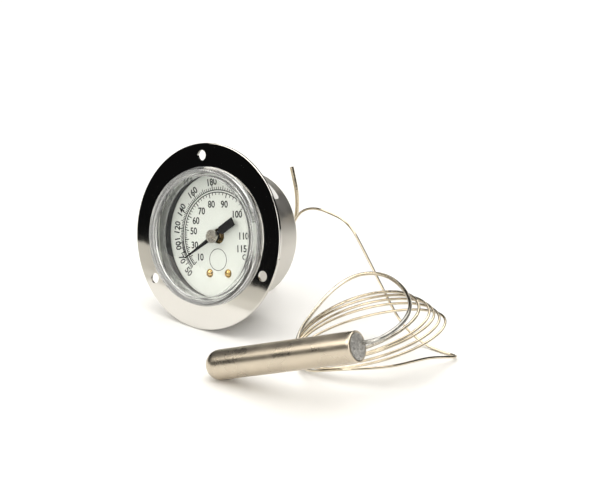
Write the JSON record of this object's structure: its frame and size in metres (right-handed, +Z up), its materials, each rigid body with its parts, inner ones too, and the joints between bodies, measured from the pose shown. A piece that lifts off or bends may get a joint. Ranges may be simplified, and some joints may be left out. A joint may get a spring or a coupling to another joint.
{
  "type": "dial thermometer",
  "caption": "Panel-mount round dial thermometer with a polished front flange, a steel case, a geared dial movement and a remote bulb on a coiled capillary.",
  "frame": {"origin": "centre of the bolt circle on the rear face of the front flange", "axes": "level with the table the gauge lies on: +Z up, +Y level towards the back of the gauge, +X to the right of the dial; the gauge itself leans back 14.1 degrees and is rolled 12.1 degrees"},
  "size_m": [0.137, 0.0907, 0.071],
  "materials": {
    "flange_polished": "mirror polished stainless steel",
    "case_steel": "satin drawn steel",
    "label_paper": "white paper label, blank",
    "lens_clear": "clear moulded polycarbonate",
    "gasket_rubber": "black rubber",
    "dial_paint": "white satin enamel with black print",
    "brass_bright": "bright turned brass",
    "brass_plain": "plain rolled brass",
    "screw_steel": "zinc plated steel",
    "staff_steel": "ground steel",
    "spring_bronze": "phosphor bronze strip",
    "hub_steel": "turned steel, slotted",
    "pointer_black": "matt black paint",
    "tube_bronze": "phosphor bronze tube",
    "solder_tin": "dull tin solder",
    "capillary_metal": "bright nickelled capillary",
    "bulb_nickel": "nickel plated copper, handled"
  },
  "bodies": {
    "gauge": {"front_flange": "flange_polished", "case": "case_steel", "case_label": "label_paper", "lens": "lens_clear", "lens_gasket": "gasket_rubber", "dial_plate": "dial_paint", "dial_screws": "brass_bright", "dial_spacers": "brass_plain", "movement_front_plate": "brass_plain", "staff_bush": "brass_bright", "movement_rear_plate": "brass_plain", "movement_pillars": "brass_plain", "movement_screws": "screw_steel", "base_screws": "screw_steel", "hairspring": "spring_bronze", "hairspring_stud": "brass_plain", "bourdon_tube": "tube_bronze", "socket_block": "brass_plain", "socket_screws": "screw_steel", "fill_tail": "capillary_metal", "fill_tail_solder": "solder_tin", "capillary_lead": "capillary_metal", "capillary_coil": "capillary_metal", "capillary_sleeve": "solder_tin", "bulb_shell": "bulb_nickel", "bulb_end_plug": "solder_tin"},
    "sector": {"sector_gear": "brass_plain", "sector_arbor": "staff_steel", "sector_link_pin": "staff_steel"},
    "staff": {"pinion_staff": "staff_steel", "hairspring_collet": "brass_plain", "pointer_hub": "hub_steel"},
    "needle": {"pointer": "pointer_black"},
    "link_arm": {"link": "brass_plain"},
    "tube_end": {"bourdon_tip": "brass_plain", "tip_link_pin": "staff_steel"}
  },
  "joints": [
    {"name": "sector_swing", "type": "hinge", "parent": "gauge", "child": "sector", "pos_m": [-0.0037, -0.00279, -0.01112], "axis": [0, -0.9699, 0.2436], "range_deg": [-1.71, 34]},
    {"name": "pointer_turn", "type": "hinge", "parent": "gauge", "child": "staff", "pos_m": [0, 0, 0], "axis": [0, -0.9699, 0.2436], "range_deg": [-238, 12]},
    {"name": "pointer_adjust", "type": "hinge", "parent": "staff", "child": "needle", "pos_m": [0, 0, 0], "axis": [0, -0.9699, 0.2436], "range_deg": [-20, 20]},
    {"name": "link_pivot", "type": "hinge", "parent": "sector", "child": "link_arm", "pos_m": [-0.00545, -0.00192, -0.00763], "axis": [0, -0.9699, 0.2436], "range_deg": [-34, 1.71]},
    {"name": "tube_end_flex", "type": "hinge", "parent": "gauge", "child": "tube_end", "pos_m": [-0.02554, 0.00023, 0.00091], "axis": [0, -0.9699, 0.2436], "range_deg": [-6.8, 0.34]}
  ],
  "couplings": [
    {"joint": "pointer_turn", "follows": "sector_swing", "ratio": -7},
    {"joint": "link_pivot", "follows": "sector_swing", "ratio": -1},
    {"joint": "tube_end_flex", "follows": "sector_swing", "ratio": -0.2}
  ]
}
